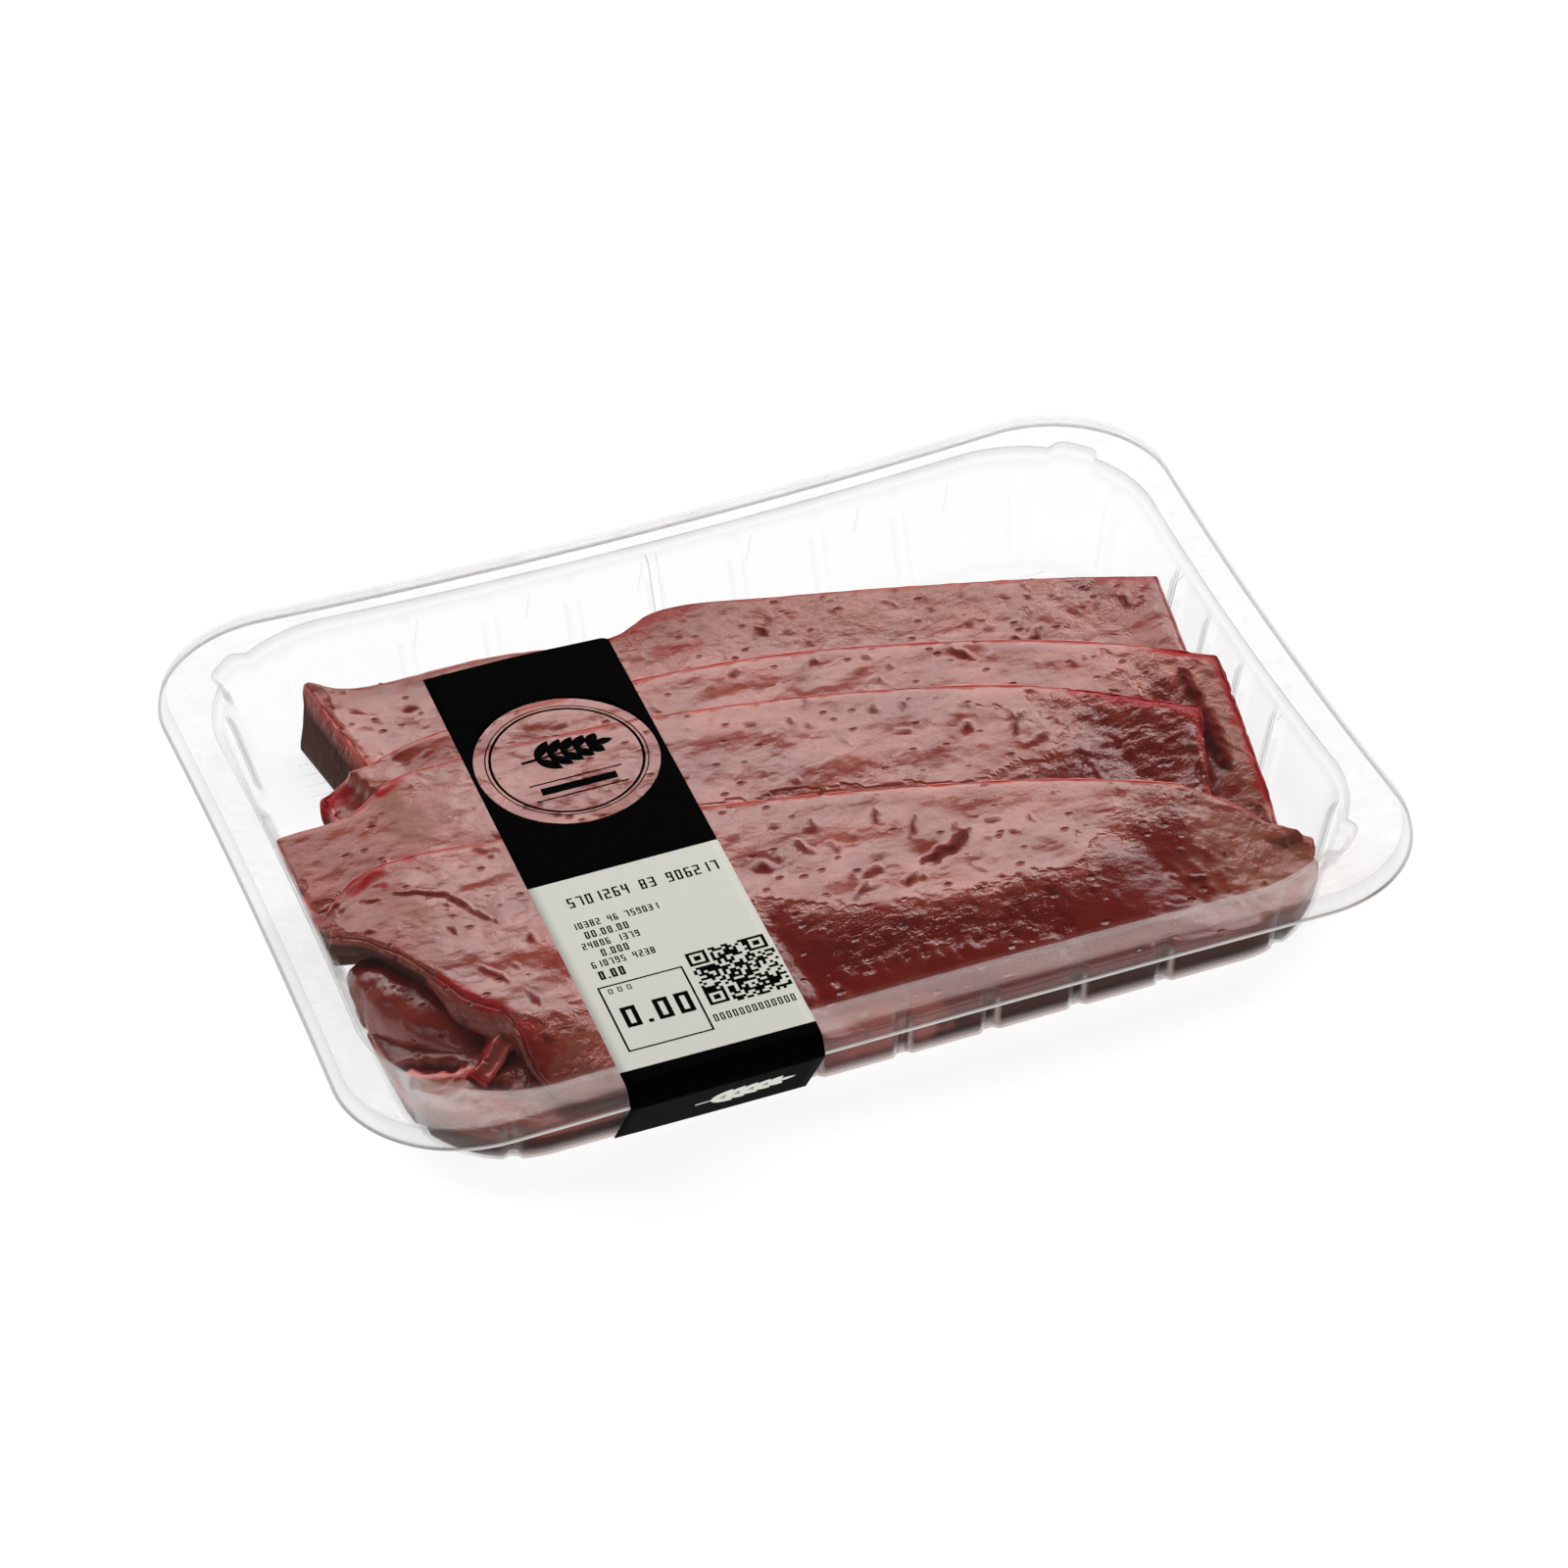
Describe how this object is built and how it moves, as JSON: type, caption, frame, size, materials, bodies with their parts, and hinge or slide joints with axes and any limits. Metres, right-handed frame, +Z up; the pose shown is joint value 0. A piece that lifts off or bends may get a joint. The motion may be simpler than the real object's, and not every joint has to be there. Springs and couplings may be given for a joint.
{
  "type": "pack of beef liver",
  "caption": "Sealed clear tray of sliced beef liver, with a fluted wall, a rolled rim, a clear lidding film and a paper label band over the front rim.",
  "frame": {"origin": "middle of the tray's underside, on the plane that it rests on", "axes": "+Z up, +X along the tray's long side, +Y from the side that the label wraps over towards the back"},
  "size_m": [0.2288, 0.1799, 0.0266],
  "materials": {
    "clear_plastic": "clear formed plastic, glossy",
    "clear_film": "clear taut lidding film, very glossy",
    "printed_paper": "black and off-white coated paper, satin",
    "liver": "wet raw liver, glossy, purplish to reddish brown"
  },
  "bodies": {
    "root": {"tray": "clear_plastic", "film": "clear_film", "label": "printed_paper", "liver_slice_1": "liver", "liver_slice_2": "liver", "liver_slice_3": "liver", "liver_slice_4": "liver", "liver_fold": "liver", "liver_roll": "liver"}
  },
  "joints": []
}
